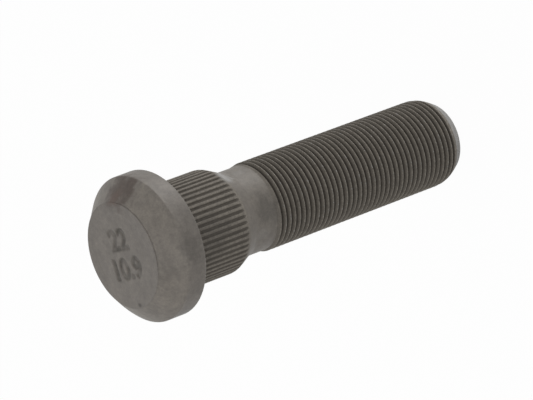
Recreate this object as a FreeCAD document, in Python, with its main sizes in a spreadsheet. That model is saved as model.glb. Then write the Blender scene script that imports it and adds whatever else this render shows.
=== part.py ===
import FreeCAD, Part
import os
import Sketcher

# A press-in wheel bolt for a commercial vehicle hub: one piece of steel, forged, rolled and phosphated.
# It stands on its threaded end, with the bolt's axis along +Z and the head on top.
# The origin is the centre of the threaded end's flat face. All sizes are millimetres.

NODE_NAME = "wheel_bolt"

# Driving sizes: alias, value, what it is
SIZES = [
    ("thread_diameter", 22.0, "major diameter of the wheel nut's thread"),
    ("thread_pitch", 1.5, "fine thread, which sets the rolled neck and the run-out"),
    ("thread_length", 59.8, "end face to the last full turn"),
    ("end_face_diameter", 17.6, "flat face at the threaded end"),
    ("end_chamfer_length", 3.8, "lead-in cone that guides the nut"),
    ("lead_round", 8.0, "radius where the lead-in cone meets the thread"),
    ("neck_length", 7.4, "last full turn to the foot of the collar's cone"),
    ("collar_cone_length", 5.2, "cone that leads the knurl into the hub"),
    ("knurl_length", 16.6, "full teeth, cone to seat"),
    ("knurl_diameter", 25.9, "over the crests of the teeth"),
    ("knurl_teeth", 56, "number of grooves round the collar"),
    ("groove_depth", 0.42, "crest to root"),
    ("groove_mouth", 1.0, "width at the crests"),
    ("groove_floor", 0.35, "width at the root"),
    ("head_diameter", 35.8, "outside of the rim"),
    ("rim_height", 5.5, "seat to the foot of the bevel"),
    ("bevel_height", 4.8, "foot of the bevel to the ledge round the face"),
    ("face_diameter", 25.8, "coined flat face of the head"),
    ("ledge_width", 0.35, "narrow shoulder round the coined face"),
    ("face_step", 0.3, "how far the coined face stands above the shoulder"),
    ("rim_round", 0.6, "radius where the rim meets the bevel"),
    ("seat_round", 0.6, "radius round the outside of the seat"),
    ("end_round", 0.4, "radius round the end face"),
    ("neck_round", 4.0, "radius where the neck meets the collar's cone"),
    ("shoulder_round", 3.0, "radius where the collar's cone meets the knurl"),
]

# Pitch diameter of a metric thread: the blank that the thread is rolled on, and so the neck
NECK_RADIUS = "(sizes.thread_diameter - 0.6495 * sizes.thread_pitch) / 2"
# The thread runs out over four fifths of a turn
RUN_OUT = "0.8 * sizes.thread_pitch"

# Heights above the end face, each built on the one below
CONE_FOOT = "sizes.thread_length + sizes.neck_length"
CONE_TOP = CONE_FOOT + " + sizes.collar_cone_length"
SEAT = CONE_TOP + " + sizes.knurl_length"
RIM_TOP = SEAT + " + sizes.rim_height"
LEDGE = RIM_TOP + " + sizes.bevel_height"
FACE = LEDGE + " + sizes.face_step"

KNURL_RADIUS = "sizes.knurl_diameter / 2"
HEAD_RADIUS = "sizes.head_diameter / 2"
FACE_RADIUS = "sizes.face_diameter / 2"

# The turned outline from the end face to the head's face: corner, radius, height
OUTLINE = [
    ("end_centre", "0", "0"),
    ("end_edge", "sizes.end_face_diameter / 2", "0"),
    ("thread_start", "sizes.thread_diameter / 2", "sizes.end_chamfer_length"),
    ("thread_end", "sizes.thread_diameter / 2", "sizes.thread_length"),
    ("neck_start", NECK_RADIUS, "sizes.thread_length + " + RUN_OUT),
    ("cone_foot", NECK_RADIUS, CONE_FOOT),
    ("cone_top", KNURL_RADIUS, CONE_TOP),
    ("seat_inside", KNURL_RADIUS, SEAT),
    ("seat_outside", HEAD_RADIUS, SEAT),
    ("rim_top", HEAD_RADIUS, RIM_TOP),
    ("ledge_outside", FACE_RADIUS + " + sizes.ledge_width", LEDGE),
    ("ledge_inside", FACE_RADIUS, LEDGE),
    ("face_edge", FACE_RADIUS, FACE),
    ("face_centre", "0", FACE),
]

# Corners that are rounded after turning: corner, radius of the round
ROUNDS = [
    ("end_edge", "end_round"),
    ("thread_start", "lead_round"),
    ("cone_foot", "neck_round"),
    ("cone_top", "shoulder_round"),
    ("seat_outside", "seat_round"),
    ("rim_top", "rim_round"),
]


def make_sheet(doc):
    """The spreadsheet that holds the driving sizes."""
    sheet = doc.addObject("Spreadsheet::Sheet", "sizes")
    for row, (alias, value, note) in enumerate(SIZES, start=1):
        sheet.set(f"A{row}", alias)
        sheet.set(f"B{row}", str(value))
        sheet.set(f"C{row}", note)
        sheet.setAlias(f"B{row}", alias)
    doc.recompute()
    return sheet


def origin_plane(body, role):
    """One of the body's own origin planes."""
    return next(plane for plane in body.Origin.OriginFeatures if plane.Role == role)


def value_of(sheet, expression):
    """An outline expression as a number, from the sheet's own cells."""
    return FreeCAD.Units.Quantity(sheet.evalExpression(expression)).Value


def add_polygon(sketch, corners):
    """A closed polygon whose corners are bound to expressions: name, across, up."""
    count = len(corners)
    places = [FreeCAD.Vector(value_of(sketch, x), value_of(sketch, y), 0) for _, x, y in corners]
    for i in range(count):
        sketch.addGeometry(Part.LineSegment(places[i], places[(i + 1) % count]))
    for i in range(count):
        sketch.addConstraint(Sketcher.Constraint("Coincident", i, 2, (i + 1) % count, 1))
    for i, (name, across, up) in enumerate(corners):
        for kind, word, expression in (("DistanceX", "across", across), ("DistanceY", "up", up)):
            number = value_of(sketch, expression)
            at = sketch.addConstraint(Sketcher.Constraint(kind, -1, 1, i, 1, number))
            sketch.renameConstraint(at, f"{name}_{word}")
            sketch.setExpression(f"Constraints.{name}_{word}", expression)


def turn_outline(doc, body):
    """The bolt as it is without its knurl, turned about +Z."""
    sketch = body.newObject("Sketcher::SketchObject", "outline")
    sketch.AttachmentSupport = (origin_plane(body, "XZ_Plane"), "")
    sketch.MapMode = "FlatFace"
    add_polygon(sketch, OUTLINE)
    blank = body.newObject("PartDesign::Revolution", "turned_blank")
    blank.Profile = sketch
    blank.ReferenceAxis = (sketch, ["V_Axis"])
    blank.Angle = 360
    doc.recompute()
    return blank


def circle_at(shape, radius, height):
    """The name of the circular edge about +Z with this radius at this height."""
    for number, edge in enumerate(shape.Edges, start=1):
        curve = edge.Curve
        if not isinstance(curve, Part.Circle):
            continue
        if abs(curve.Radius - radius) < 1e-6 and abs(curve.Center.z - height) < 1e-6:
            return f"Edge{number}"
    raise ValueError(f"no circle of radius {radius} at height {height}")


def round_corners(doc, body, sheet, base):
    """The rounds that forging and tumbling leave on the outline's corners."""
    corners = {name: (across, up) for name, across, up in OUTLINE}
    for corner, radius in ROUNDS:
        across, up = (value_of(sheet, expression) for expression in corners[corner])
        fillet = body.newObject("PartDesign::Fillet", f"{corner}_round")
        fillet.Base = (base, [circle_at(base.Shape, across, up)])
        fillet.setExpression("Radius", f"sizes.{radius}")
        doc.recompute()
        base = fillet
    return base


def cut_knurl(doc, body, blank):
    """Straight grooves round the collar, from the seat out through the cone, leaving flat-topped teeth."""
    sketch = body.newObject("Sketcher::SketchObject", "groove_section")
    sketch.AttachmentSupport = (origin_plane(body, "XY_Plane"), "")
    sketch.MapMode = "FlatFace"
    sketch.setExpression("AttachmentOffset.Base.z", SEAT)
    root = KNURL_RADIUS + " - sizes.groove_depth"
    # The flanks carry on outwards past the crests by one more depth, so that the cut has no skin left over it
    outside = KNURL_RADIUS + " + sizes.groove_depth"
    wide = "(2 * sizes.groove_mouth - sizes.groove_floor) / 2"
    add_polygon(
        sketch,
        [
            ("root_right", root, "-sizes.groove_floor / 2"),
            ("mouth_right", outside, "-" + wide),
            ("mouth_left", outside, wide),
            ("root_left", root, "sizes.groove_floor / 2"),
        ],
    )
    groove = body.newObject("PartDesign::Pocket", "groove")
    groove.Profile = sketch
    groove.setExpression("Length", "sizes.knurl_length + sizes.collar_cone_length")
    doc.recompute()
    if groove.Shape.Volume >= blank.Shape.Volume:
        raise ValueError("the first groove cut nothing")
    knurl = body.newObject("PartDesign::PolarPattern", "knurl")
    knurl.Originals = [groove]
    knurl.Axis = (sketch, ["N_Axis"])
    knurl.Angle = 360
    knurl.setExpression("Occurrences", "sizes.knurl_teeth")
    body.Tip = knurl
    doc.recompute()
    return knurl


def check(doc, bodies):
    """Stops the build if an object failed or a sub-part is not one valid solid."""
    for item in doc.Objects:
        if {"Invalid", "Error"} & set(item.State):
            raise ValueError(f"{item.Label} failed: {item.State}")
    for body in bodies:
        shape = body.Shape
        if shape.isNull() or not shape.isValid() or len(shape.Solids) != 1:
            raise ValueError(f"{body.Label} is not one valid solid")


def main():
    doc = FreeCAD.newDocument("wheel_bolt")
    sheet = make_sheet(doc)
    body = doc.addObject("PartDesign::Body", "bolt")
    body.Label = NODE_NAME
    blank = turn_outline(doc, body)
    blank = round_corners(doc, body, sheet, blank)
    cut_knurl(doc, body, blank)
    doc.recompute()
    check(doc, [body])
    os.makedirs("parts", exist_ok=True)
    body.Shape.exportStep(f"parts/{body.Label}.step")
    box = body.Shape.BoundBox
    print(f"{body.Label}: {body.Shape.Volume:.1f} mm3, {len(body.Shape.Faces)} faces")
    print(f"box {box.XMin:.3f} {box.YMin:.3f} {box.ZMin:.3f} to {box.XMax:.3f} {box.YMax:.3f} {box.ZMax:.3f}")


main()
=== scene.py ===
"""A press-in wheel bolt, dressed for its photograph.

It has a rolled thread, a knurled collar and a coined head, all in dark phosphate.
"""
import math

import bpy
from bpy.props import FloatProperty, FloatVectorProperty, IntProperty, PointerProperty, StringProperty
from bpy.types import Operator, Panel, PropertyGroup
from mathutils import Color, Matrix, Vector


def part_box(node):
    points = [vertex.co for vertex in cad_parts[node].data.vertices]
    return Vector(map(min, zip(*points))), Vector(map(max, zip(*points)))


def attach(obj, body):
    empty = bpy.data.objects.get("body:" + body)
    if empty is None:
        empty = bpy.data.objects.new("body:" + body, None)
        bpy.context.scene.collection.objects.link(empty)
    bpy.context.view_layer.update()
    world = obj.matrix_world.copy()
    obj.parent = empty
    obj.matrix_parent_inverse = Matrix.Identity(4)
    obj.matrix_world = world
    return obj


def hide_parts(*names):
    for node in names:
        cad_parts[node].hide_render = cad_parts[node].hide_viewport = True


bl_info = {
    "name": "Wheel Bolt",
    "version": (1, 0, 0),
    "blender": (4, 5, 0),
    "location": "3D View > Sidebar > Wheel Bolt",
    "description": "Builds a knurled wheel bolt with a fine thread, and a plain stage for it",
    "category": "Object",
}

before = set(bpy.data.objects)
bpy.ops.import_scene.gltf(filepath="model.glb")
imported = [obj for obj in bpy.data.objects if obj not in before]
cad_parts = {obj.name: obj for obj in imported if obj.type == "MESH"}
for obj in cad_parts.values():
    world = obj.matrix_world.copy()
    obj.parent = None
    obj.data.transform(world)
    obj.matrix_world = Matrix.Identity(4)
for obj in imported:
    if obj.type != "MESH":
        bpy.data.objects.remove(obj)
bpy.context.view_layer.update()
NODE = "wheel_bolt"
BODY = "root"
LOWEST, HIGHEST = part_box(NODE)
MM = 0.001

# The point that the camera and the lamps are turned to
AIM = (0.000393, 0.000063, 0.055146)
# Lamps: name, place, width, and the stage's setting that gives its power
LAMPS = (
    ("key_lamp", (0.655, -0.192, -0.337), 0.384, "key"),
    ("top_lamp", (-0.06, 0.2, 0.34), 0.2, "top"),
    ("front_lamp", (-0.2, -0.48, 0.42), 0.4, "front"),
)
FLOOR_REACH = 3.0
SENSOR_WIDTH = 36.0
NEAREST_SEEN = 0.01

# How finely each surface is divided
COLUMNS_PER_TOOTH = 10
THREAD_COLUMNS = 112
ROWS_PER_PITCH = 8
END_FACE_CELLS = THREAD_COLUMNS // 4
ROUND_ROWS = 5
CONE_ROWS = 18
BEVEL_ROWS = 6
WELD_DISTANCE = 2e-6
SHARP_ANGLE = math.radians(40)
# Places of the two colours among a Mix node's inputs, and of the mixed one among its outputs
MIX_COLOURS = (6, 7)
MIXED_COLOUR = 2

# A metric outside thread, in pitches: its depth, and how much smaller its rolled blank is, on the diameter
THREAD_DEEP = 0.6134
BLANK_BELOW = 0.6495
# Share of half a pitch that is flat at the thread's crest and at its root
THREAD_FLAT = 0.125
# Share of the lead-in cone that is turned plain, before the thread starts
TURNED_SHARE = 0.72
# A smooth minimum takes a sixth of its width off the corner
BLEND_WIDTHS = 6
# Depth below the lead-in from which a thread groove is painted fully
THREAD_SHOWS = 0.0002
# Share of its depth from which a knurl groove is painted fully
KNURL_SHOWS = 0.35

# Width of the slope beside a stamped stroke, and of the slope round the face's dish
STROKE_EDGE = 0.0006
DISH_EDGE = 0.0006
# Share of its depth that the stamp has where it was struck most weakly
WEAKEST_STRIKE = 0.4
# Where the face's step stands open, as a share of a turn, and the cosines of open and closed from there
STEP_SIDE = -0.186
STEP_OPEN = 0.82
STEP_CLOSED = 0.5
# Share of the step that the metal has closed, on its open side and elsewhere
OPEN_SHARE = 0.35
CLOSED_SHARE = 0.9
# How near a height has to be to count as the ledge's or the face's own
LEDGE_TOLERANCE = 0.00001
# Where the bevel bulges, as a share of a turn, and the cosines of the bulge's start and full height
BULGE_SIDE = 0.5
BULGE_START = 0.3
BULGE_FULL = 0.95
# The forging's wave: its scale round the head and along it, and how far below the face it fades and is gone
WAVE_SCALE = 1.6
WAVE_ALONG = 60.0
WAVE_DETAIL = 2.0
WAVE_LEVELS = (0.25, 0.75)
WAVE_FADES = 0.0012
WAVE_GONE = 0.0006

# Even noises: scale and detail
GRAIN = (2300.0, 2.0)
SPECKLE = (900.0, 3.0)
SPOT_EDGE = (460.0, 5.0)
DENTS = (230.0, 2.0)
PEBBLES = (800.0, 3.0)
CRYSTALS = (5200.0, 2.0)
# Patchy noises: scale, detail, roughness, and the levels that become zero and one
CLOUDS = (190.0, 5.0, 0.62, 0.34, 0.66)
BEVEL_PATCHES = (330.0, 3.0, 0.55, 0.36, 0.64)
# Painted glints on the thread's crests
CREST_GLINTS = (1300.0, 2.0, 0.55, 0.58, 0.68)
STAMP_SMUDGES = (700.0, 3.0, 0.55, 0.3, 0.6)
STAMP_STRIKES = (330.0, 2.0, 0.55, 0.3, 0.6)
# Depths of groove, as a share, at which the crests' rub with its painted highlight, the crests' painted
# glints, and the grooves' dark coat with painted shade start and are full
RUB_AND_HIGHLIGHT_DEPTHS = (0.26, 0.04)
GLINT_DEPTHS = (0.15, 0.0)
THREAD_DARK_DEPTHS = (0.34, 0.74)
KNURL_DARK_DEPTHS = (0.1, 0.6)
# Levels of the grain at which the crests' rub and painted highlight start and are full
GRAIN_RUB_AND_HIGHLIGHT = (0.25, 0.6)
# How bright the clouds are beside the plain coat, and how fully each zone takes its colours
CLOUD_SHADE = 0.75
NECK_ROLLED = 0.5
KNURL_ROLLED = 0.8
# Painted light on the bevel: an even share and a patchy share of the crest colour
BEVEL_PAINTED_LIGHT = 0.12
BEVEL_PATCHED = 0.5
THREAD_RUB_AND_HIGHLIGHT = 0.85
KNURL_RUB_AND_HIGHLIGHT = 0.6
THREAD_GLINTS = 0.6
# Dark coat with painted shade in the thread's and knurl's grooves
THREAD_DARK = 0.88
KNURL_DARK = 0.45
STAMP_DARK = 0.65
STAMP_SMUDGED = 0.4
SPECKLED = 0.55
# How ragged the edges of the worn places, painted glints and painted shade are, and the share of their
# reach within which they are full
RAGGED = 1.6
FULLY_MARKED = 0.35
# The coat's relief: strength, height, and how much higher its pebbles and dents are than its crystals
RELIEF_STRENGTH = 0.6
RELIEF_HEIGHT = 0.03 * MM
PEBBLE_HEIGHT = 2.0
DENT_HEIGHT = 5.0
# How much the grain varies the roughness, and how much rougher the rolled zones are
GRAIN_ROUGHNESS = 0.2
ROLLED_ROUGHNESS = 0.28
# How long a stretch each zone's paint takes to fade out
NECK_FADE = 2 * MM
BEVEL_FADE = MM
SEAT_FADE = 0.1 * MM
LEAD_FADE = 0.15 * MM

# Worn places, painted glints and painted shade: centre and reach in millimetres, strength, and the finish's
# colour that each takes
WORN_GLINT_AND_SHADE_PLACES = (
    ((14.3, -5.2, 97.1), 6.2, 0.8, "oxide"),
    ((15.0, -7.2, 95.8), 3.0, 0.7, "oxide"),
    ((13.5, -4.1, 98.4), 2.8, 0.5, "rust"),
    ((15.8, -3.4, 96.1), 3.4, 0.55, "oxide"),
    ((-4.2, -17.3, 92.8), 4.5, 0.45, "smudge_and_shade"),
    ((-1.7, -10.4, 63.3), 4.6, 0.55, "smudge_and_shade"),
    # Painted shade over the knurl's −Y side
    ((-2.5, -12.7, 83.0), 8.5, 0.4, "smudge_and_shade"),
    ((-12.1, 0.5, 99.6), 0.8, 0.9, "groove"),
    # Painted glints: bright spots on the cone top and the neck top; the last is a light scuff low on the
    # neck
    ((8.9, -7.8, 70.2), 3.0, 0.75, "bare_and_glint"),
    ((8.8, -5.8, 64.3), 2.2, 0.18, "bare_and_glint"),
    ((-6.9, -8.0, 65.2), 2.2, 0.12, "bare_and_glint"),
)


def length(name, millimetres, description):
    """A size that is written in millimetres and kept in metres."""
    return FloatProperty(
        name=name, description=description, default=millimetres * MM, precision=5, unit="LENGTH"
    )


def colour(name, value, description):
    """A colour in linear light."""
    return FloatVectorProperty(
        name=name, description=description, default=value, size=3, min=0.0, max=1.0, subtype="COLOR"
    )


def factor(name, value, description):
    """A share between zero and one."""
    return FloatProperty(
        name=name, description=description, default=value, min=0.0, max=1.0, subtype="FACTOR"
    )


def power(name, watts, description):
    """A lamp's power."""
    return FloatProperty(name=name, description=description, default=watts, min=0.0, unit="POWER")


def angle(name, degrees, description):
    """An angle that is written in degrees and kept in radians."""
    return FloatProperty(
        name=name, description=description, default=math.radians(degrees), subtype="ANGLE"
    )


class WheelBoltSizes(PropertyGroup):
    """Sizes of the turned outline, the thread, the knurl and the stamp."""

    thread_diameter: length("Thread", 22.0, "Outside diameter of the thread")
    thread_pitch: length("Pitch", 1.5, "Rise of one turn of the thread")
    thread_length: length("Thread length", 59.8, "End face to the last full turn")
    end_face_diameter: length("End face", 17.6, "Flat face at the threaded end")
    end_chamfer_length: length("Lead-in", 3.8, "Length of the cone that guides the nut")
    lead_round: length("Lead round", 8.0, "Radius where the lead-in cone meets the thread")
    end_round: length("End round", 0.4, "Radius round the end face")
    neck_length: length("Neck", 7.4, "Last full turn to the foot of the collar's cone")
    neck_round: length("Neck round", 4.0, "Radius where the neck meets the cone")
    collar_cone_length: length("Collar cone", 5.2, "Cone that leads the knurl into the hub")
    shoulder_round: length("Shoulder round", 3.0, "Radius where the cone meets the knurl")
    knurl_length: length("Knurl", 16.6, "Full teeth, cone to seat")
    knurl_diameter: length("Knurl diameter", 25.9, "Over the crests of the teeth")
    knurl_teeth: IntProperty(name="Teeth", description="Grooves round the collar", default=56, min=12)
    groove_depth: length("Groove depth", 0.42, "Crest to root of the knurl")
    groove_mouth: length("Groove mouth", 1.0, "Width of a groove at the crests")
    groove_floor: length("Groove floor", 0.35, "Width of a groove at its root")
    head_diameter: FloatProperty(
        name="Head",
        description="Outside of the rim, as packed",
        default=HIGHEST.x - LOWEST.x,
        precision=5,
        unit="LENGTH",
    )
    rim_height: length("Rim", 5.5, "Seat to the foot of the bevel")
    seat_round: length("Seat round", 0.6, "Radius round the outside of the seat")
    rim_round: length("Rim round", 0.6, "Radius where the rim meets the bevel")
    bevel_height: length("Bevel", 4.8, "Foot of the bevel to the ledge round the face")
    ledge_width: length("Ledge", 0.35, "Narrow shoulder round the coined face")
    face_step: length("Face step", 0.3, "How far the coined face stands above the ledge")
    face_diameter: length("Face", 25.8, "Coined flat face of the head")
    face_round: length("Face round", 0.25, "Radius round the coined face")
    face_dish: length("Face dish", 0.06, "How far the middle of the face is coined below its edge")
    dish_diameter: length("Dish", 21.0, "Coined middle of the face")
    bevel_bulge: length("Bevel bulge", 0.35, "How far the forging stands out of the bevel on one side")
    forge_wave: length("Forging", 0.1, "Unevenness that forging leaves on the head")
    stamp: StringProperty(name="Stamp", description="Size and strength numbers", default="22\n10.9")
    stamp_size: length("Stamp size", 7.0, "Height of a line of the stamp")
    stamp_depth: length("Stamp depth", 0.32, "How deep the stamp is struck")
    stamp_turn: angle("Stamp turn", -96, "Turn of the stamp about the bolt's axis")


class WheelBoltFinish(PropertyGroup):
    """Colours of the phosphate and of its wear, some of which also carry painted shade, highlights, glints
    and light.
    """

    phosphate: colour("Phosphate", (0.160, 0.143, 0.125), "Matte coat on the head and neck")
    rolled: colour("Rolled", (0.136, 0.121, 0.101), "Darker coat on the rolled thread and knurl")
    # Dark coat in the thread's and knurl's grooves, with painted shade there; it also darkens the stamp's
    # strokes and a nick on the face
    groove: colour("Groove", (0.044, 0.037, 0.029), "Coat that gathers in the grooves")
    # Lighter rubbed crests of thread and knurl, with a painted highlight on them; on the bevel this colour
    # gives painted light
    crest: colour("Crest", (0.214, 0.192, 0.163), "Rubbed crests of thread and knurl")
    # Turned lead-in and bright rubs, and painted glints on the cone, neck and thread crests
    bare_and_glint: colour("Bare", (0.300, 0.294, 0.283), "Turned lead-in and bright rubs")
    # Dark grey smudges on the rim and neck, and painted shade on the knurl's −Y side
    smudge_and_shade: colour("Smudge", (0.075, 0.067, 0.058), "Dark grey smudges on the rim and neck")
    oxide: colour("Oxide", (0.074, 0.056, 0.046), "Brown oxide patch on the bevel")
    rust: colour("Rust", (0.102, 0.064, 0.049), "Redder heart of the oxide patch")
    roughness: factor("Roughness", 0.54, "How matte the coat is")
    metallic: factor("Metallic", 0.15, "How much the steel shines through the coat")


class WheelBoltStage(PropertyGroup):
    """Floor, lamps and camera."""

    floor: colour("Floor", (0.86, 0.86, 0.86), "Pale floor")
    floor_white: factor("Floor white", 0.97, "Share of plain white that the floor shows")
    sky: factor("Sky", 0.55, "Even light from all round")
    key: power("Key", 2.75, "Lamp beside the bolt")
    front: power("Front", 0.66, "Lamp before the bolt")
    top: power("Top", 0.14, "Lamp above the head")
    lens: FloatProperty(name="Lens", description="Focal length in millimetres", default=273.94)
    distance: length("Distance", 967.56, "Camera to the point it looks at")
    elevation: angle("Elevation", 36.227, "Camera above the horizon")
    roll: angle("Roll", 110.5, "Turn of the camera about its view")


class Field:
    """A number that varies over a surface: plain sums of fields become Math nodes."""

    def __init__(self, tree, socket):
        self.tree = tree
        self.socket = socket

    def math(self, operation, *others):
        """The result of one Math node."""
        made = add(self.tree, "ShaderNodeMath", operation=operation)
        for value, socket in zip((self, *others), made.inputs):
            feed(self.tree, value, socket)
        return Field(self.tree, made.outputs[0])

    def __add__(self, other):
        return self.math("ADD", other)

    def __sub__(self, other):
        return self.math("SUBTRACT", other)

    def __mul__(self, other):
        return self.math("MULTIPLY", other)

    def __truediv__(self, other):
        return self.math("DIVIDE", other)

    def low(self, other):
        """The smaller of two values."""
        return self.math("MINIMUM", other)

    def high(self, other):
        """The larger of two values."""
        return self.math("MAXIMUM", other)

    def under(self, other):
        """One where this is less than the other value, and zero elsewhere."""
        return self.math("LESS_THAN", other)

    def ramp(self, start, end, smooth=False):
        """Zero at start, one at end, and held outside them."""
        shape = "SMOOTHSTEP" if smooth else "LINEAR"
        made = add(self.tree, "ShaderNodeMapRange", interpolation_type=shape)
        for value, name in ((self, "Value"), (start, "From Min"), (end, "From Max")):
            feed(self.tree, value, made.inputs[name])
        return Field(self.tree, made.outputs["Result"])

    def inverse(self):
        """What is left of one."""
        return self * -1.0 + 1.0

    def to_peak(self):
        """A wave of period one that is one at whole numbers and zero half way between."""
        return (self.math("FRACT") - 0.5).math("ABSOLUTE") * 2.0


def add(tree, kind, **settings):
    """A new node with its settings."""
    made = tree.nodes.new(kind)
    for name, value in settings.items():
        setattr(made, name, value)
    return made


def feed(tree, value, socket):
    """Gives a socket a field, another socket or a plain value."""
    if isinstance(value, Field):
        value = value.socket
    if isinstance(value, bpy.types.NodeSocket):
        tree.links.new(value, socket)
    else:
        socket.default_value = value


def join_xyz(tree, x, y, z):
    """A vector from three fields."""
    made = add(tree, "ShaderNodeCombineXYZ")
    for value, socket in zip((x, y, z), made.inputs):
        feed(tree, value, socket)
    return made.outputs[0]


def split_xyz(tree, vector):
    """The three fields of a vector."""
    made = add(tree, "ShaderNodeSeparateXYZ")
    feed(tree, vector, made.inputs[0])
    return [Field(tree, socket) for socket in made.outputs]


def flat_grid(tree, columns, rows):
    """A grid whose corners are numbered by column and row from zero: mesh, column, row."""
    made = add(tree, "GeometryNodeMeshGrid")
    for value, socket in zip((columns, rows, columns + 1, rows + 1), made.inputs):
        feed(tree, value, socket)
    x, y, _ = split_xyz(tree, add(tree, "GeometryNodeInputPosition").outputs[0])
    column = (x + columns / 2).math("ROUND")
    row = (y + rows / 2).math("ROUND")
    return made.outputs["Mesh"], column, row


def set_place(tree, mesh, x, y, z):
    """The mesh with its points moved to x, y, z."""
    made = add(tree, "GeometryNodeSetPosition")
    feed(tree, mesh, made.inputs["Geometry"])
    feed(tree, join_xyz(tree, x, y, z), made.inputs["Position"])
    return made.outputs[0]


def wrap(tree, mesh, turn, radius, height):
    """The mesh wrapped round the bolt's axis; turn is a share of a full turn."""
    around = turn * math.tau
    return set_place(tree, mesh, radius * around.math("COSINE"), radius * around.math("SINE"), height)


def keep_value(tree, mesh, name, value):
    """The mesh with a value kept on its points for the material to read."""
    made = add(tree, "GeometryNodeStoreNamedAttribute", data_type="FLOAT", domain="POINT")
    feed(tree, mesh, made.inputs["Geometry"])
    feed(tree, name, made.inputs["Name"])
    feed(tree, value, made.inputs["Value"])
    return made.outputs[0]


def disc(tree, cells, radius, height):
    """A disc of square cells, with four times as many evenly spaced rim points as cells across."""
    mesh, column, row = flat_grid(tree, cells, cells)
    across = (column * (2 / cells) - 1.0) * (math.pi / 4)
    along = (row * (2 / cells) - 1.0) * (math.pi / 4)
    reach = radius * math.sqrt(2)
    x = reach * across.math("SINE") * along.math("COSINE")
    y = reach * along.math("SINE") * across.math("COSINE")
    return set_place(tree, mesh, x, y, height)


def rolled_thread(tree, size, turns):
    """End face's edge to the neck: rows follow the helix, and both ends are pressed flat into rings."""
    mesh, column, row = flat_grid(tree, THREAD_COLUMNS, (turns + 1) * ROWS_PER_PITCH)
    turn = column / THREAD_COLUMNS
    rise = row / ROWS_PER_PITCH - 1.0 + turn
    height = (rise * size["Pitch"]).high(0.0).low(size["Neck Stop"])
    # Half a row's shift sets the crest's flat between two rows
    phase = height / size["Pitch"] - turn + 0.5 / ROWS_PER_PITCH
    groove = phase.to_peak().ramp(THREAD_FLAT, 1.0 - THREAD_FLAT)
    run_out = height.ramp(size["Thread End"], size["Neck Start"], smooth=True)
    bite = size["Thread Depth"] * groove * height.ramp(size["Turned"], size["Lead-in"])
    radius = size["Thread Radius"] - bite
    radius = radius + (size["Neck Radius"] - radius) * run_out
    envelope = lead_in_radius(size, height)
    shown = groove * (envelope - radius).ramp(0.0, THREAD_SHOWS) * run_out.inverse()
    mesh = keep_value(tree, mesh, "groove", shown)
    return wrap(tree, mesh, turn, radius.low(envelope), height)


def lead_in_radius(size, height):
    """The lead-in's cone, rounded into the thread above and into the end face below."""
    spread = size["Thread Radius"] - size["End Radius"]
    cone = size["End Radius"] + spread * (height / size["Lead-in"])
    cone = cone.math("SMOOTH_MIN", size["Thread Radius"], size["Lead Blend"])
    drop = (size["End Round"] - height).high(0.0)
    left = size["End Round"].math("POWER", 2.0) - drop.math("POWER", 2.0)
    return cone - (size["End Round"] - left.math("SQRT"))


def outline_grid(tree, outline, columns):
    """A grid for the turned outline: mesh, column, row, and the outline's radius and height at each row."""
    count = add(tree, "GeometryNodeAttributeDomainSize", component="CURVE")
    feed(tree, outline, count.inputs[0])
    points = Field(tree, count.outputs["Point Count"])
    mesh, column, row = flat_grid(tree, columns, points - 1.0)
    sample = add(tree, "GeometryNodeSampleIndex", data_type="FLOAT_VECTOR", domain="POINT")
    feed(tree, outline, sample.inputs["Geometry"])
    feed(tree, add(tree, "GeometryNodeInputPosition").outputs[0], sample.inputs["Value"])
    feed(tree, row, sample.inputs["Index"])
    radius, _, height = split_xyz(tree, sample.outputs[0])
    return mesh, column, row, radius, height


def knurled_collar_and_head(tree, size, outline, teeth):
    """Neck to the coined face's edge: the turned outline, with straight grooves cut into the collar."""
    columns = teeth * COLUMNS_PER_TOOTH
    step = columns // THREAD_COLUMNS
    mesh, column, row, radius, height = outline_grid(tree, outline, columns)
    # The first ring has only as many places as the thread's last one, so that the two weld
    coarse = (column / step).math("ROUND") * step
    column = column + (coarse - column) * row.under(0.5)
    turn = column / columns
    groove = (turn * teeth).to_peak().ramp(size["Crest Share"], size["Floor Share"], smooth=True)
    cut = size["Knurl Radius"] - size["Groove Depth"] * groove
    below_seat = height.under(size["Seat"] + WELD_DISTANCE)
    collar = below_seat * radius.under(size["Knurl Radius"] + WELD_DISTANCE)
    bite = (radius - cut).high(0.0) * collar
    shown = groove * (bite / size["Groove Depth"]).ramp(0.0, KNURL_SHOWS)
    mesh = keep_value(tree, mesh, "groove", shown)
    closed = step_closing(size, turn, height)
    drawn = closed * (radius - size["Face Edge"])
    lift = closed * (size["Face"] - height)
    uneven = forging_wave(tree, size, turn, height) + bevel_bulge(size, turn, height)
    return wrap(tree, mesh, turn, radius - bite - drawn + uneven, height + lift)


def step_closing(size, turn, height):
    """How far the metal has flowed back over the ledge round the face, as a share of the step."""
    toward = ((turn - STEP_SIDE) * math.tau).math("COSINE")
    above = (size["Ledge"] - height).under(LEDGE_TOLERANCE)
    on_ledge = above * height.under(size["Face"] - LEDGE_TOLERANCE)
    shut = toward.ramp(STEP_OPEN, STEP_CLOSED, smooth=True)
    return on_ledge * (shut * (CLOSED_SHARE - OPEN_SHARE) + OPEN_SHARE)


def bevel_bulge(size, turn, height):
    """How far the bevel stands out on its fuller side."""
    across = (height.ramp(size["Rim Top"], size["Ledge"]) * math.pi).math("SINE")
    toward = ((turn - BULGE_SIDE) * math.tau).math("COSINE")
    return across * toward.ramp(BULGE_START, BULGE_FULL, smooth=True) * size["Bevel Bulge"]


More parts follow.
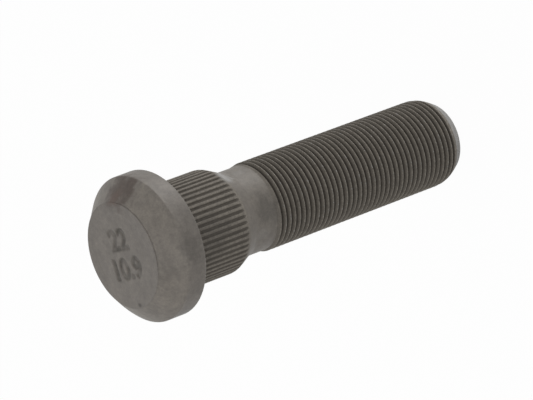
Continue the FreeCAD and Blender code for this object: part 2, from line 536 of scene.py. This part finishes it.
def forging_wave(tree, size, turn, height):
    """A slow wave round the head that only goes inwards, and so stays inside the die."""
    around = turn * math.tau
    made = add(tree, "ShaderNodeTexNoise", noise_dimensions="3D")
    place = join_xyz(tree, around.math("COSINE"), around.math("SINE"), height * WAVE_ALONG)
    feed(tree, place, made.inputs["Vector"])
    feed(tree, WAVE_SCALE, made.inputs["Scale"])
    feed(tree, WAVE_DETAIL, made.inputs["Detail"])
    wave = (Field(tree, made.outputs[0]).ramp(*WAVE_LEVELS) - 1.0) * size["Forge Wave"]
    wave = wave * height.ramp(size["Seat"], size["Rim Foot"])
    wave = wave * (height.ramp(size["Rim Top"], size["Ledge"]) + 1.0)
    return wave * height.ramp(size["Face"] - WAVE_FADES, size["Face"] - WAVE_GONE).inverse()


def stamp_blank(tree, size):
    """The stamp's strokes as flat faces on the head's face."""
    words = add(tree, "GeometryNodeStringToCurves", align_x="CENTER", align_y="MIDDLE")
    feed(tree, size["Stamp"].socket, words.inputs["String"])
    feed(tree, size["Stamp Size"], words.inputs["Size"])
    loose = add(tree, "GeometryNodeRealizeInstances")
    feed(tree, words.outputs[0], loose.inputs[0])
    filled = add(tree, "GeometryNodeFillCurve")
    feed(tree, loose.outputs[0], filled.inputs["Curve"])
    moved = add(tree, "GeometryNodeTransform")
    feed(tree, filled.outputs[0], moved.inputs["Geometry"])
    feed(tree, join_xyz(tree, 0.0, 0.0, size["Face"]), moved.inputs["Translation"])
    turned = add(tree, "FunctionNodeEulerToRotation")
    feed(tree, join_xyz(tree, 0.0, 0.0, size["Stamp Turn"]), turned.inputs[0])
    feed(tree, turned.outputs[0], moved.inputs["Rotation"])
    return moved.outputs[0]


def coined_face(tree, size, teeth):
    """The head's face, with the stamp struck into it."""
    mesh = disc(tree, teeth * COLUMNS_PER_TOOTH // 4, size["Face Radius"], size["Face"])
    near = add(tree, "GeometryNodeProximity", target_element="FACES")
    feed(tree, stamp_blank(tree, size), near.inputs["Geometry"])
    away = Field(tree, near.outputs["Distance"])
    place = add(tree, "GeometryNodeInputPosition").outputs[0]
    uneven = patches(tree, place, *STAMP_STRIKES) * (1.0 - WEAKEST_STRIKE) + WEAKEST_STRIKE
    struck = away.ramp(STROKE_EDGE, 0.0, smooth=True) * uneven
    mesh = keep_value(tree, mesh, "stamp", struck)
    kept = add(tree, "GeometryNodeInputNamedAttribute", data_type="FLOAT")
    feed(tree, "stamp", kept.inputs["Name"])
    x, y, z = split_xyz(tree, place)
    out = (x * x + y * y).math("SQRT")
    dish = out.ramp(size["Dish Radius"], size["Dish Radius"] - DISH_EDGE, smooth=True)
    depth = Field(tree, kept.outputs[0]) * size["Stamp Depth"] + dish * size["Face Dish"]
    return set_place(tree, mesh, x, y, z - depth)


def end_face(tree, size):
    """The flat face at the threaded end, looking down."""
    mesh = disc(tree, END_FACE_CELLS, size["End Radius"] - size["End Round"], 0.0)
    made = add(tree, "GeometryNodeFlipFaces")
    feed(tree, mesh, made.inputs[0])
    return made.outputs[0]


def rounded_outline(tree, wire):
    """The wire outline as a curve with its corners rounded by the radius kept on each."""
    curve = add(tree, "GeometryNodeMeshToCurve")
    feed(tree, wire, curve.inputs[0])
    kept = add(tree, "GeometryNodeInputNamedAttribute", data_type="FLOAT")
    feed(tree, "round", kept.inputs["Name"])
    made = add(tree, "GeometryNodeFilletCurve", mode="POLY")
    feed(tree, curve.outputs[0], made.inputs["Curve"])
    feed(tree, ROUND_ROWS, made.inputs["Count"])
    feed(tree, kept.outputs[0], made.inputs["Radius"])
    feed(tree, True, made.inputs["Limit Radius"])
    return made.outputs[0]


def welded(tree, surfaces, material):
    """The surfaces joined, welded where they meet, smoothed and given their material."""
    joined = add(tree, "GeometryNodeJoinGeometry")
    for surface in surfaces:
        tree.links.new(surface, joined.inputs[0])
    weld = add(tree, "GeometryNodeMergeByDistance")
    feed(tree, joined.outputs[0], weld.inputs["Geometry"])
    feed(tree, WELD_DISTANCE, weld.inputs["Distance"])
    smooth = add(tree, "GeometryNodeSetShadeSmooth")
    feed(tree, weld.outputs[0], smooth.inputs["Geometry"])
    real = add(tree, "GeometryNodeRealizeInstances")
    feed(tree, smooth.outputs[0], real.inputs[0])
    paint = add(tree, "GeometryNodeSetMaterial")
    feed(tree, real.outputs[0], paint.inputs["Geometry"])
    feed(tree, material, paint.inputs["Material"])
    return paint.outputs[0]


def bolt_tree(values, teeth, turns):
    """The Geometry Nodes tree of the whole bolt, and its inputs by name."""
    tree = bpy.data.node_groups.new("wheel_bolt_form", "GeometryNodeTree")
    tree.interface.new_socket("Outline", in_out="INPUT", socket_type="NodeSocketGeometry")
    tree.interface.new_socket("Bolt", in_out="OUTPUT", socket_type="NodeSocketGeometry")
    kinds = {float: "NodeSocketFloat", str: "NodeSocketString", bpy.types.Material: "NodeSocketMaterial"}
    sockets = {
        name: tree.interface.new_socket(name, in_out="INPUT", socket_type=kinds[type(value)])
        for name, value in values.items()
    }
    start = add(tree, "NodeGroupInput")
    size = {name: Field(tree, start.outputs[name]) for name in values}
    outline = rounded_outline(tree, start.outputs["Outline"])
    surfaces = (
        end_face(tree, size),
        rolled_thread(tree, size, turns),
        knurled_collar_and_head(tree, size, outline, teeth),
        coined_face(tree, size, teeth),
    )
    end = add(tree, "NodeGroupOutput")
    feed(tree, welded(tree, surfaces, size["Finish"].socket), end.inputs[0])
    return tree, sockets


def heights(sizes):
    """Heights above the end face, each built on the one below."""
    steps = (
        ("cone_foot", sizes.thread_length + sizes.neck_length),
        ("cone_top", sizes.collar_cone_length),
        ("seat", sizes.knurl_length),
        ("rim_top", sizes.rim_height),
        ("ledge", sizes.bevel_height),
        ("face", sizes.face_step),
    )
    height = 0.0
    found = {}
    for name, step in steps:
        height += step
        found[name] = height
    return found


def lead_blend(sizes):
    """Width of the smooth minimum that takes as much off the lead-in's corner as its round does."""
    spread = (sizes.thread_diameter - sizes.end_face_diameter) / 2
    slope = math.atan2(spread, sizes.end_chamfer_length)
    return BLEND_WIDTHS * sizes.lead_round * (1 / math.cos(slope / 2) - 1)


def neck_radius(sizes):
    """The blank that the thread is rolled on."""
    return (sizes.thread_diameter - BLANK_BELOW * sizes.thread_pitch) / 2


def neck_stop(sizes):
    """Where the thread's surface hands over to the collar's, half way along the neck."""
    return sizes.thread_length + sizes.neck_length / 2


def outline_corners(sizes):
    """Neck to coined face: radius, height, round and the number of extra rows up to the next corner."""
    up = heights(sizes)
    neck = neck_radius(sizes)
    knurl = sizes.knurl_diameter / 2
    head = sizes.head_diameter / 2
    face = sizes.face_diameter / 2
    return [
        (neck, neck_stop(sizes), 0.0, 1),
        (neck, up["cone_foot"], sizes.neck_round, CONE_ROWS),
        (knurl, up["cone_top"], sizes.shoulder_round, 2),
        (knurl, up["seat"], 0.0, 1),
        (head, up["seat"], sizes.seat_round, 1),
        (head, up["rim_top"], sizes.rim_round, BEVEL_ROWS),
        (face + sizes.ledge_width, up["ledge"], 0.0, 0),
        (face, up["ledge"], 0.0, 0),
        (face, up["face"], sizes.face_round, 0),
        (face - 2 * sizes.face_round, up["face"], 0.0, 0),
    ]


def straight_rows(start, end, skip, stop, count):
    """Places between two corners, clear of the rounds at both."""
    along = (end - start).normalized()
    gap = ((end - start).length - skip - stop) / (count + 1)
    return [start + along * (skip + gap * row) for row in range(1, count + 1)]


def outline_wire(sizes):
    """The outline as a wire mesh that keeps each corner's round."""
    corners = outline_corners(sizes)
    spots = [Vector((radius, 0.0, height)) for radius, height, *_ in corners]
    reach = [0.0] * len(corners)
    for at in range(1, len(corners) - 1):
        bend = (spots[at] - spots[at - 1]).angle(spots[at + 1] - spots[at])
        reach[at] = corners[at][2] * math.tan(bend / 2)
    places, rounds = [spots[0]], [0.0]
    for at in range(len(corners) - 1):
        rows = straight_rows(spots[at], spots[at + 1], reach[at], reach[at + 1], corners[at][3])
        places += [*rows, spots[at + 1]]
        rounds += [0.0] * len(rows) + [corners[at + 1][2]]
    wire = bpy.data.meshes.new("bolt_outline")
    wire.from_pydata(places, [(at, at + 1) for at in range(len(places) - 1)], [])
    kept = wire.attributes.new("round", "FLOAT", "POINT")
    kept.data.foreach_set("value", rounds)
    return wire


def tree_values(sizes, finish):
    """What the bolt's tree is given, by the name of its input."""
    up = heights(sizes)
    half_tooth = math.pi * sizes.knurl_diameter / sizes.knurl_teeth / 2
    return {
        "Thread Radius": sizes.thread_diameter / 2,
        "Thread Depth": THREAD_DEEP * sizes.thread_pitch,
        "Pitch": sizes.thread_pitch,
        "Thread End": sizes.thread_length,
        "Neck Start": sizes.thread_length + sizes.thread_pitch,
        "Neck Stop": neck_stop(sizes),
        "Neck Radius": neck_radius(sizes),
        "End Radius": sizes.end_face_diameter / 2,
        "End Round": sizes.end_round,
        "Lead-in": sizes.end_chamfer_length,
        "Lead Blend": lead_blend(sizes),
        "Turned": TURNED_SHARE * sizes.end_chamfer_length,
        "Knurl Radius": sizes.knurl_diameter / 2,
        "Groove Depth": sizes.groove_depth,
        "Crest Share": 1.0 - sizes.groove_mouth / 2 / half_tooth,
        "Floor Share": 1.0 - sizes.groove_floor / 2 / half_tooth,
        "Seat": up["seat"],
        "Rim Foot": up["seat"] + sizes.seat_round,
        "Ledge": up["ledge"],
        "Face": up["face"],
        "Face Edge": sizes.face_diameter / 2,
        "Face Dish": sizes.face_dish,
        "Dish Radius": sizes.dish_diameter / 2,
        "Face Radius": sizes.face_diameter / 2 - 2 * sizes.face_round,
        "Rim Top": up["rim_top"],
        "Bevel Bulge": sizes.bevel_bulge,
        "Forge Wave": sizes.forge_wave,
        "Stamp": sizes.stamp,
        "Stamp Size": sizes.stamp_size,
        "Stamp Depth": sizes.stamp_depth,
        "Stamp Turn": sizes.stamp_turn,
        "Finish": finish,
    }


def plain_mesh(piece, name):
    """Turns a piece and its modifiers into a plain mesh with clean corners."""
    graph = bpy.context.evaluated_depsgraph_get()
    mesh = bpy.data.meshes.new_from_object(piece.evaluated_get(graph))
    mesh.name = name
    piece.modifiers.clear()
    piece.data = mesh
    mesh.set_sharp_from_angle(angle=SHARP_ANGLE)


def noise(tree, place, scale, detail, rough=0.55):
    """Even cloudy noise between zero and one."""
    made = add(tree, "ShaderNodeTexNoise")
    feed(tree, place, made.inputs["Vector"])
    feed(tree, scale, made.inputs["Scale"])
    feed(tree, detail, made.inputs["Detail"])
    feed(tree, rough, made.inputs["Roughness"])
    return Field(tree, made.outputs["Fac"])


def patches(tree, place, scale, detail, rough, low, high):
    """Noise whose low level becomes zero and high level one."""
    return noise(tree, place, scale, detail, rough).ramp(low, high)


def blend(tree, share, first, second, kind="MIX"):
    """Two colours mixed by a share."""
    made = add(tree, "ShaderNodeMix", data_type="RGBA", blend_type=kind)
    feed(tree, share, made.inputs["Factor"])
    for value, at in zip((first, second), MIX_COLOURS):
        feed(tree, (*value, 1.0) if isinstance(value, Color) else value, made.inputs[at])
    return made.outputs[MIXED_COLOUR]


def spot(tree, place, centre, reach, ragged):
    """One at a place on the bolt, fading to zero at its reach, with a ragged edge."""
    gap = add(tree, "ShaderNodeVectorMath", operation="DISTANCE")
    feed(tree, place, gap.inputs[0])
    feed(tree, Vector(centre) * MM, gap.inputs[1])
    away = Field(tree, gap.outputs["Value"]) / (reach * MM)
    return (away + ragged).ramp(1.0, FULLY_MARKED, smooth=True)


def grey_of(tree, value):
    """A grey as bright as a value."""
    made = add(tree, "ShaderNodeCombineColor")
    for socket in made.inputs:
        feed(tree, value, socket)
    return made.outputs[0]


def kept_value(tree, name):
    """A value that the form left on the surface."""
    made = add(tree, "ShaderNodeAttribute", attribute_type="GEOMETRY", attribute_name=name)
    return Field(tree, made.outputs["Fac"])


def steel_material(sizes, finish):
    """Dark matte phosphate over forged and rolled steel."""
    material = bpy.data.materials.new("phosphated_steel")
    material.use_nodes = True
    tree = material.node_tree
    tree.nodes.clear()
    place = add(tree, "ShaderNodeTexCoord").outputs["Object"]
    grain = noise(tree, place, *GRAIN)
    thread, knurl, lead_in = rolled_zones(tree, place, sizes)
    coat = forged_coat(tree, place, sizes, finish)
    coat = rolled_coat(tree, place, coat, finish, thread, knurl, grain)
    coat = blend(tree, lead_in, coat, finish.bare_and_glint)
    coat = worn_glint_and_shade_coat(tree, place, coat, finish)
    coat = stamped_coat(tree, place, coat, finish)
    speckle = grain * 0.5 + noise(tree, place, *SPECKLE) * 0.5
    coat = blend(tree, SPECKLED, coat, grey_of(tree, speckle), "OVERLAY")
    rough = grain * GRAIN_ROUGHNESS + (finish.roughness - GRAIN_ROUGHNESS / 2)

    shader = add(tree, "ShaderNodeBsdfPrincipled")
    feed(tree, coat, shader.inputs["Base Color"])
    feed(tree, rough + (thread + knurl) * ROLLED_ROUGHNESS, shader.inputs["Roughness"])
    feed(tree, finish.metallic, shader.inputs["Metallic"])
    feed(tree, coat_relief(tree, place, thread), shader.inputs["Normal"])
    output = add(tree, "ShaderNodeOutputMaterial")
    feed(tree, shader.outputs[0], output.inputs["Surface"])
    return material


def forged_coat(tree, place, sizes, finish):
    """The cloudy coat of the head and neck, with painted light on the bevel, in patches."""
    neck, bevel = forged_zones(tree, place, sizes)
    clouds = patches(tree, place, *CLOUDS)
    coat = blend(tree, clouds, finish.phosphate, finish.phosphate * CLOUD_SHADE)
    coat = blend(tree, neck * NECK_ROLLED, coat, finish.rolled)
    # Painted light on the bevel, in patches
    lightened = patches(tree, place, *BEVEL_PATCHES) * BEVEL_PATCHED + BEVEL_PAINTED_LIGHT
    return blend(tree, bevel * lightened, coat, finish.crest)


def rolled_coat(tree, place, coat, finish, thread, knurl, grain):
    """The darker coat of thread and knurl: lighter crests, rubbed and with a painted highlight, painted
    glints on the thread's crests, and a dark coat with painted shade in the grooves.
    """
    groove = kept_value(tree, "groove")
    coat = blend(tree, thread, coat, finish.rolled)
    coat = blend(tree, knurl * KNURL_ROLLED, coat, finish.rolled)
    # Rubbed crests with a painted highlight on them
    lightened = groove.ramp(*RUB_AND_HIGHLIGHT_DEPTHS) * grain.ramp(*GRAIN_RUB_AND_HIGHLIGHT)
    lightened = lightened * (thread * THREAD_RUB_AND_HIGHLIGHT + knurl * KNURL_RUB_AND_HIGHLIGHT)
    coat = blend(tree, lightened, coat, finish.crest)
    # Painted glints: bright specks on the thread's crests
    glinted = groove.ramp(*GLINT_DEPTHS) * patches(tree, place, *CREST_GLINTS)
    coat = blend(tree, glinted * thread * THREAD_GLINTS, coat, finish.bare_and_glint)
    # Dark coat with painted shade in the grooves, fullest towards the roots
    coat = blend(tree, groove.ramp(*THREAD_DARK_DEPTHS) * thread * THREAD_DARK, coat, finish.groove)
    return blend(tree, groove.ramp(*KNURL_DARK_DEPTHS) * knurl * KNURL_DARK, coat, finish.groove)


def worn_glint_and_shade_coat(tree, place, coat, finish):
    """The coat with its oxide patch, smudges, a nick and a light scuff, painted glints on the cone and
    neck, and painted shade on the knurl's −Y side.
    """
    ragged = (noise(tree, place, *SPOT_EDGE) - 0.5) * RAGGED
    for centre, reach, share, tone in WORN_GLINT_AND_SHADE_PLACES:
        marked = spot(tree, place, centre, reach, ragged) * share
        coat = blend(tree, marked, coat, getattr(finish, tone))
    return coat


def stamped_coat(tree, place, coat, finish):
    """The coat with the stamp's strokes darkened."""
    dark = patches(tree, place, *STAMP_SMUDGES) * STAMP_SMUDGED + STAMP_DARK
    return blend(tree, kept_value(tree, "stamp") * dark, coat, finish.groove)


def coat_relief(tree, place, thread):
    """The coat's fine crystals and pebbles, and the forging's shallow dents outside the thread."""
    crystals = noise(tree, place, *CRYSTALS) + noise(tree, place, *PEBBLES) * PEBBLE_HEIGHT
    dents = noise(tree, place, *DENTS) * DENT_HEIGHT * thread.inverse()
    made = add(tree, "ShaderNodeBump")
    feed(tree, RELIEF_STRENGTH, made.inputs["Strength"])
    feed(tree, RELIEF_HEIGHT, made.inputs["Distance"])
    feed(tree, crystals + dents, made.inputs["Height"])
    return made.outputs[0]


def rolled_zones(tree, place, sizes):
    """Where the surface is rolled thread, knurl and turned lead-in: one in each, zero elsewhere."""
    _, _, height = split_xyz(tree, place)
    up = heights(sizes)
    turned = TURNED_SHARE * sizes.end_chamfer_length
    thread = height.ramp(sizes.thread_length + sizes.thread_pitch, sizes.thread_length)
    lower = height.ramp(up["cone_top"] - NECK_FADE, up["cone_top"] - NECK_FADE / 2)
    upper = height.ramp(up["seat"], up["seat"] - SEAT_FADE)
    return thread, lower * upper, height.ramp(turned, turned - LEAD_FADE)


def forged_zones(tree, place, sizes):
    """Where the surface is the neck and the bevel: one in each, zero elsewhere."""
    _, _, height = split_xyz(tree, place)
    up = heights(sizes)
    neck = height.ramp(up["cone_top"], up["cone_top"] - NECK_FADE)
    bevel = height.ramp(up["rim_top"] - BEVEL_FADE, up["rim_top"] + BEVEL_FADE)
    return neck, bevel * height.ramp(up["face"], up["ledge"])


class OBJECT_OT_wheel_bolt(Operator):
    """Builds the wheel bolt as one welded mesh in place of its CAD node"""

    bl_idname = "object.wheel_bolt_build"
    bl_label = "Build Wheel Bolt"
    bl_options = {"REGISTER", "UNDO"}

    def execute(self, context):
        sizes = context.scene.wheel_bolt_sizes
        material = steel_material(sizes, context.scene.wheel_bolt_finish)
        values = tree_values(sizes, material)
        turns = math.ceil(neck_stop(sizes) / sizes.thread_pitch)
        tree, sockets = bolt_tree(values, sizes.knurl_teeth, turns)
        piece = bpy.data.objects.new("phosphated_wheel_bolt", outline_wire(sizes))
        context.scene.collection.objects.link(piece)
        modifier = piece.modifiers.new("form", "NODES")
        modifier.node_group = tree
        for name, value in values.items():
            modifier[sockets[name].identifier] = value
        plain_mesh(piece, "phosphated_wheel_bolt")
        if not piece.data.polygons:
            raise RuntimeError("the bolt's tree made no faces")
        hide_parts(NODE)
        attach(piece, BODY)
        return {"FINISHED"}


def seen_white(tree):
    """One for rays that show the stage: to the camera, and in gloss and glass."""
    path = add(tree, "ShaderNodeLightPath")
    shown = Field(tree, path.outputs["Is Camera Ray"])
    for name in ("Is Glossy Ray", "Is Transmission Ray"):
        shown = shown.high(Field(tree, path.outputs[name]))
    return shown


def floor_material(stage):
    """A pale floor that looks nearly white and keeps the bolt's shadow."""
    material = bpy.data.materials.new("pale_floor")
    material.use_nodes = True
    tree = material.node_tree
    tree.nodes.clear()
    matte = add(tree, "ShaderNodeBsdfDiffuse")
    feed(tree, (*stage.floor, 1.0), matte.inputs["Color"])
    white = add(tree, "ShaderNodeEmission")
    mixed = add(tree, "ShaderNodeMixShader")
    feed(tree, seen_white(tree) * stage.floor_white, mixed.inputs[0])
    feed(tree, matte.outputs[0], mixed.inputs[1])
    feed(tree, white.outputs[0], mixed.inputs[2])
    output = add(tree, "ShaderNodeOutputMaterial")
    feed(tree, mixed.outputs[0], output.inputs["Surface"])
    return material


def make_floor(stage):
    """A wide plane under the bolt."""
    signs = ((-1, -1), (1, -1), (1, 1), (-1, 1))
    corners = [(FLOOR_REACH * x, FLOOR_REACH * y, 0.0) for x, y in signs]
    mesh = bpy.data.meshes.new("floor")
    mesh.from_pydata(corners, [], [(0, 1, 2, 3)])
    mesh.materials.append(floor_material(stage))
    floor = bpy.data.objects.new("floor", mesh)
    bpy.context.scene.collection.objects.link(floor)
    # The key lamp shines up through it, as through a light table
    floor.visible_shadow = False


def make_sky(stage):
    """Even white light all round."""
    world = bpy.data.worlds.new("soft_sky")
    bpy.context.scene.world = world
    world.use_nodes = True
    tree = world.node_tree
    tree.nodes.clear()
    sky = add(tree, "ShaderNodeBackground")
    feed(tree, (1.0, 1.0, 1.0, 1.0), sky.inputs["Color"])
    feed(tree, seen_white(tree) * (1.0 - stage.sky) + stage.sky, sky.inputs["Strength"])
    output = add(tree, "ShaderNodeOutputWorld")
    feed(tree, sky.outputs[0], output.inputs["Surface"])


def make_lamp(name, place, width, watts):
    """A soft square lamp turned to the bolt."""
    lamp = bpy.data.lights.new(name, "AREA")
    lamp.size = width
    lamp.energy = watts
    shown = bpy.data.objects.new(name, lamp)
    bpy.context.scene.collection.objects.link(shown)
    shown.visible_camera = False
    shown.location = place
    shown.rotation_euler = (Vector(AIM) - Vector(place)).to_track_quat("-Z", "Y").to_euler()


def make_camera(stage):
    """The photograph's view: along +Y, looking down on the head, with the camera rolled on its side."""
    camera = bpy.data.objects.new("camera", bpy.data.cameras.new("camera"))
    bpy.context.scene.collection.objects.link(camera)
    bpy.context.scene.camera = camera
    camera.data.sensor_width = SENSOR_WIDTH
    camera.data.lens = stage.lens
    camera.data.clip_start = NEAREST_SEEN
    aim = Matrix.Translation(AIM)
    tilt = Matrix.Rotation(math.pi / 2 - stage.elevation, 4, "X")
    roll = Matrix.Rotation(-stage.roll, 4, "Z")
    back = Matrix.Translation((0.0, 0.0, stage.distance))
    camera.matrix_world = aim @ tilt @ roll @ back


class OBJECT_OT_wheel_bolt_stage(Operator):
    """Sets the floor, the light and the camera"""

    bl_idname = "object.wheel_bolt_stage"
    bl_label = "Set Stage"
    bl_options = {"REGISTER", "UNDO"}

    def execute(self, context):
        stage = context.scene.wheel_bolt_stage
        make_floor(stage)
        make_sky(stage)
        for name, place, width, setting in LAMPS:
            make_lamp(name, place, width, getattr(stage, setting))
        make_camera(stage)
        context.scene.view_settings.view_transform = "Standard"
        return {"FINISHED"}


class VIEW3D_PT_wheel_bolt(Panel):
    """Sizes, finish and stage of the wheel bolt"""

    bl_label = "Wheel Bolt"
    bl_space_type = "VIEW_3D"
    bl_region_type = "UI"
    bl_category = "Wheel Bolt"

    def draw(self, context):
        for group in GROUPS:
            settings = getattr(context.scene, group)
            box = self.layout.box()
            for name in settings.bl_rna.properties.keys():
                if name not in ("rna_type", "name"):
                    box.prop(settings, name)
        for operator in (OBJECT_OT_wheel_bolt, OBJECT_OT_wheel_bolt_stage):
            self.layout.operator(operator.bl_idname)


GROUPS = {
    "wheel_bolt_sizes": WheelBoltSizes,
    "wheel_bolt_finish": WheelBoltFinish,
    "wheel_bolt_stage": WheelBoltStage,
}
CLASSES = (*GROUPS.values(), OBJECT_OT_wheel_bolt, OBJECT_OT_wheel_bolt_stage, VIEW3D_PT_wheel_bolt)


def register():
    """Adds the classes and the scene's settings to Blender."""
    for item in CLASSES:
        bpy.utils.register_class(item)
    for name, group in GROUPS.items():
        setattr(bpy.types.Scene, name, PointerProperty(type=group))


def unregister():
    """Takes the settings and the classes out again."""
    for name in GROUPS:
        delattr(bpy.types.Scene, name)
    for item in reversed(CLASSES):
        bpy.utils.unregister_class(item)


def main():
    """Builds the bolt and its stage."""
    register()
    bpy.ops.object.wheel_bolt_build()
    bpy.ops.object.wheel_bolt_stage()


if __name__ == "__main__":
    main()
